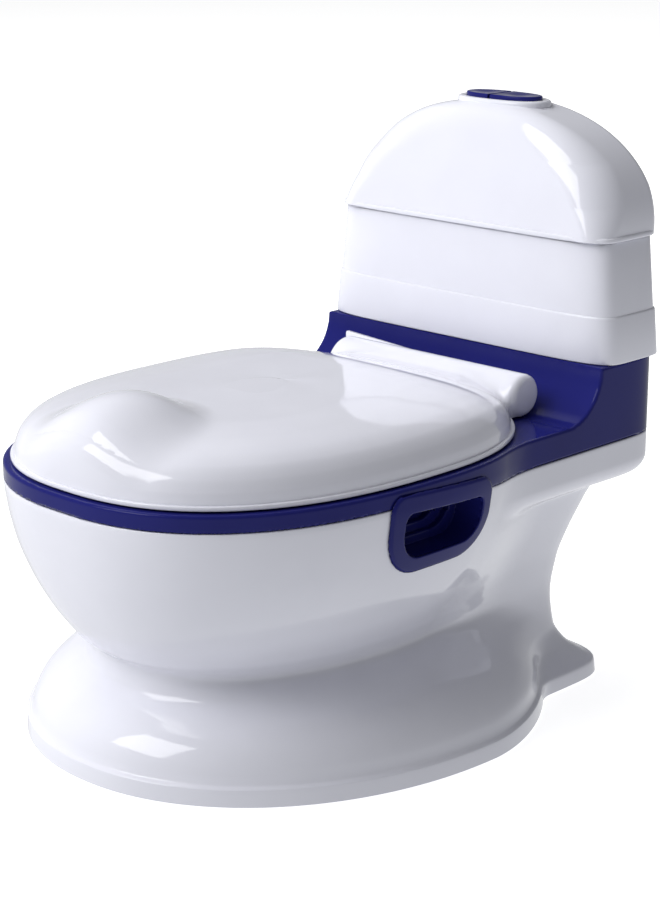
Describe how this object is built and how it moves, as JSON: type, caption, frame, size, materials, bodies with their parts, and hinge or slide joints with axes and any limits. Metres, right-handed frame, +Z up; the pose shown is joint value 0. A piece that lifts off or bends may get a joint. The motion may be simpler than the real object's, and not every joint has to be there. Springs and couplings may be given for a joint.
{
  "type": "potty training chair",
  "caption": "Toddler potty chair shaped like a small toilet: flared pedestal, blue rim frame with side grips, hinged lid over a seat and lift-out pot, and a domed tank with flush buttons.",
  "frame": {"origin": "on the floor, under the middle of the outer box", "axes": "+Z up, +Y from the bowl's front towards the tank, +X to the left of a child sitting on it"},
  "size_m": [0.3068, 0.4, 0.3615],
  "materials": {
    "white_plastic": "glossy white moulded polypropylene",
    "blue_plastic": "glossy deep navy moulded polypropylene",
    "pot_plastic": "satin white moulded polypropylene",
    "rubber": "matte grey rubber",
    "steel": "zinc-plated steel",
    "board": "green circuit board laminate",
    "battery_jacket": "printed cell jacket without any print",
    "dark_plastic": "matte black moulded plastic"
  },
  "bodies": {
    "base": {"body_shell": "white_plastic", "rim_frame": "blue_plastic", "grip_left": "blue_plastic", "grip_right": "blue_plastic", "seat_ring": "white_plastic", "splash_guard": "white_plastic", "potty_pot": "pot_plastic", "hinge_pin_left": "steel", "hinge_pin_right": "steel", "hinge_rail": "white_plastic", "tank_body": "white_plastic", "foot_pad_rear_right": "rubber", "seat_bumper_rear_right": "rubber", "foot_pad_rear_left": "rubber", "seat_bumper_rear_left": "rubber", "foot_pad_front_right": "rubber", "seat_bumper_front_right": "rubber", "foot_pad_front_left": "rubber", "seat_bumper_front_left": "rubber", "frame_screw_1": "steel", "frame_screw_2": "steel", "frame_screw_3": "steel", "frame_screw_4": "steel", "tank_screw_1": "steel", "tank_screw_2": "steel", "tank_screw_3": "steel", "tank_screw_4": "steel"},
    "lid": {"lid": "white_plastic", "lid_bumper_1": "rubber", "lid_bumper_2": "rubber"},
    "tank_cover": {"tank_cover": "white_plastic", "flush_bezel": "white_plastic", "button_spring_large": "steel", "button_spring_small": "steel", "sound_housing": "dark_plastic", "battery_door": "dark_plastic", "circuit_board": "board", "speaker": "dark_plastic", "battery_1": "battery_jacket", "battery_2": "battery_jacket", "switch_large": "dark_plastic", "switch_small": "dark_plastic", "housing_screw_1": "steel", "housing_screw_2": "steel"},
    "flush_button_large": {"flush_button_large": "blue_plastic"},
    "flush_button_small": {"flush_button_small": "blue_plastic"}
  },
  "joints": [
    {"name": "lid_hinge", "type": "hinge", "parent": "base", "child": "lid", "pos_m": [0, 0.104, 0.188], "axis": [-1, 0, 0], "range_deg": [0, 92]},
    {"name": "tank_cover_lift", "type": "slide", "parent": "base", "child": "tank_cover", "axis": [0, 0, 1], "range_m": [0, 0.04]},
    {"name": "flush_button_large_press", "type": "slide", "parent": "tank_cover", "child": "flush_button_large", "axis": [0, 0, -1], "range_m": [0, 0.003], "stiffness_N_per_m": 300, "springref_m": -0.001},
    {"name": "flush_button_small_press", "type": "slide", "parent": "tank_cover", "child": "flush_button_small", "axis": [0, 0, -1], "range_m": [0, 0.003], "stiffness_N_per_m": 300, "springref_m": -0.001}
  ]
}
